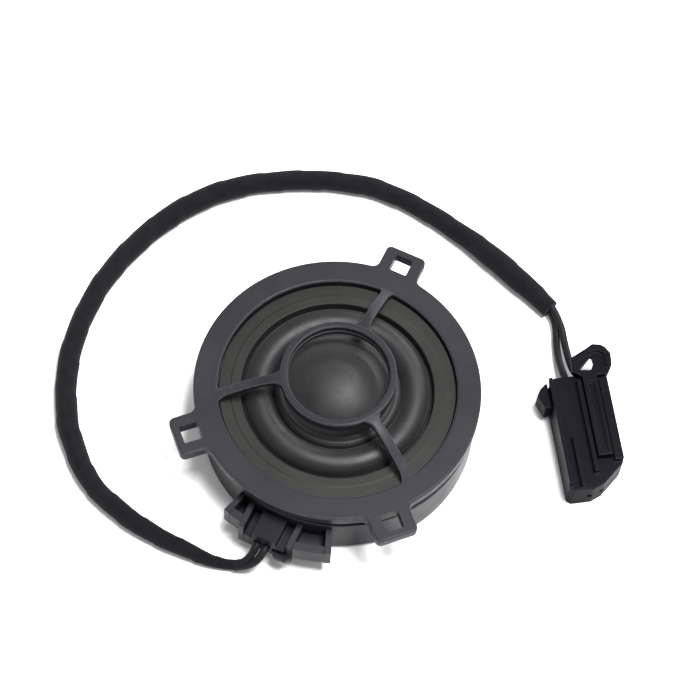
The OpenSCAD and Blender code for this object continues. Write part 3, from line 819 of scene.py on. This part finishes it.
def felt(name, colour, scale, depth):
    """Open felt or foam: a fuzzy, pitted surface."""
    n = Nodes(name, IOR=1.35, Sheen_Weight=0.4)
    fuzz = n.noise(scale, 5, 0.7)
    dark, light = shades(colour, 0.35)
    n.link(n.colours(fuzz, [(0.3, dark), (0.7, light)]), n.shader.inputs["Base Color"])
    n.link(n.span(n.noise(scale / 4, 2), 0.85, 1.0), n.shader.inputs["Roughness"])
    n.link(n.bump(fuzz, depth), n.shader.inputs["Normal"])
    return n.material


# edge_highlight sets how strong the painted highlight on each plastic's rounded edges is
SHELL = plastic("shell_plastic", (0.0165, 0.0157, 0.0190), 0.38, 0.11, edge_highlight=0.9)
FRAME_PLASTIC = plastic("frame_plastic", (0.0150, 0.0150, 0.0142), 0.45, 0.12, spread=0.16)
PLUG_PLASTIC = plastic("plug_plastic", (0.0100, 0.0093, 0.0122), 0.38, 0.06, edge_highlight=0.5)
CONNECTOR_PLASTIC = plastic("connector_plastic", (0.0042, 0.0038, 0.0062), 0.4, 0.03, edge_highlight=0.9)
DOME_CLOTH = cloth("dome_fabric", (0.013, 0.013, 0.0138), 0.00032, 0.45)
ROLL_CLOTH = cloth("surround_fabric", (0.010, 0.010, 0.0108), 0.00036, 0.4)
TAPE = fleece("fleece_tape", (0.0072, 0.0068, 0.0086))
PVC = plastic("wire_insulation", (0.0085, 0.0080, 0.0096), 0.45, 0.1, 0.000006, 2400, 0.15, 0.05)
STEEL = metal("plated_steel", (0.55, 0.55, 0.56), 0.32)
BRASS = metal("tinned_brass", (0.72, 0.66, 0.52), 0.3)
COPPER = metal("copper", (0.78, 0.38, 0.22), 0.3, (80, 80, 9000))
NICKEL = metal("neodymium", (0.62, 0.62, 0.64), 0.2)
FELT = felt("felt", (0.10, 0.095, 0.09), 2600, 0.00012)
FORMER = plastic("polyimide_former", (0.45, 0.26, 0.07), 0.3, 0.5, 0.000004, 2000, 0.1, 0.1)
SLEEVE = plastic("capacitor_sleeve", (0.05, 0.075, 0.12), 0.35, 0.5, 0.000006, 1500, 0.15, 0.15)

# ---------------------------------------------------------------- finishing the pieces


def finish_piece(obj, body, slot, material, *nodes):
    """A piece's material, the CAD nodes it stands for, and the body it rides on. The slot argument
    is not used.
    """
    obj.data.materials.clear()
    obj.data.materials.append(material)
    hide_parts(*nodes)
    if body:
        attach(obj, body)


finish_piece(grille, "base", "shell_plastic", SHELL, "front_grille")
finish_piece(housing, "base", "shell_plastic", SHELL, "rear_housing")
finish_piece(driver_frame, "base", "frame_plastic", FRAME_PLASTIC, "diaphragm_frame")
finish_piece(surround, None, "surround_fabric", ROLL_CLOTH, "surround")
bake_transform(surround)
finish_piece(dome, "diaphragm", "dome_fabric", DOME_CLOTH, "dome")
finish_piece(plug, "harness", "plug_plastic", PLUG_PLASTIC, "plug_body")
finish_piece(plug_latch, "plug_latch", "plug_plastic", PLUG_PLASTIC, "plug_latch")
finish_piece(connector, "harness", "connector_plastic", CONNECTOR_PLASTIC, "connector_housing")
finish_piece(connector_latch, "connector_latch", "connector_plastic", CONNECTOR_PLASTIC,
             "connector_latch")
finish_piece(connector_lock, "connector_lock", "connector_plastic", CONNECTOR_PLASTIC,
             "connector_lock")
finish_piece(loom, "harness", "fleece_tape", TAPE, "taped_loom")
for name, wire in wires.items():
    finish_piece(wire, "harness", "wire_insulation", PVC, name)

CAD_FINISH = {
    "grille_gasket": FELT, "tinsel_leads": COPPER, "pole_plate": STEEL, "magnet": NICKEL,
    "yoke_cup": STEEL, "damping_pad": FELT, "rear_foam_pad": FELT, "terminal_pins": BRASS,
    "crossover_capacitor": SLEEVE, "capacitor_leads": STEEL, "voice_coil_former": FORMER,
    "voice_coil_winding": COPPER, "plug_contacts": BRASS, "connector_contacts": BRASS,
}
for node, material in CAD_FINISH.items():
    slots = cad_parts[node].data.materials
    slots.clear()
    slots.append(material)

# ---------------------------------------------------------------- floor and light

FLOOR_HALF = 3.0


def make_floor():
    """White paper under the object."""
    points = [(x * FLOOR_HALF, y * FLOOR_HALF, 0) for x, y in ((-1, -1), (1, -1), (1, 1), (-1, 1))]
    floor = add_object("floor", mesh_from("floor", points, [(0, 1, 2, 3)]))
    n = Nodes("floor_paper", Roughness=0.9)
    n.link(n.colours(n.noise(14, 4), [(0.3, (0.88, 0.88, 0.885)), (0.7, (0.9, 0.9, 0.9))]),
           n.shader.inputs["Base Color"])
    n.link(n.bump(n.noise(1800, 3), 0.00002), n.shader.inputs["Normal"])
    floor.data.materials.append(n.material)


def area_light(name, towards, distance, size, watts):
    """A soft box that hangs at a distance in one direction from the object and faces it."""
    data = bpy.data.lights.new(name, "AREA")
    data.shape = "RECTANGLE"
    data.size, data.size_y = size
    data.energy = watts
    light = bpy.data.objects.new(name, data)
    way = Vector(towards).normalized()
    light.location = way * distance
    light.rotation_euler = way.to_track_quat("Z", "Y").to_euler()
    bpy.context.collection.objects.link(light)


make_floor()
area_light("key", (0.2, 0.1, 0.97), 1.1, (0.42, 0.34), 26)
area_light("back", (0.15, 0.9, 0.4), 1.2, (0.7, 0.16), 8)

world = bpy.data.worlds.new("studio")
world.use_nodes = True
world.node_tree.nodes["Background"].inputs["Color"].default_value = (1, 1, 1, 1)
world.node_tree.nodes["Background"].inputs["Strength"].default_value = 0.6
bpy.context.scene.world = world
bpy.context.scene.view_settings.view_transform = "Standard"


def corners(box):
    return [[float(c) for c in corner] for corner in box]
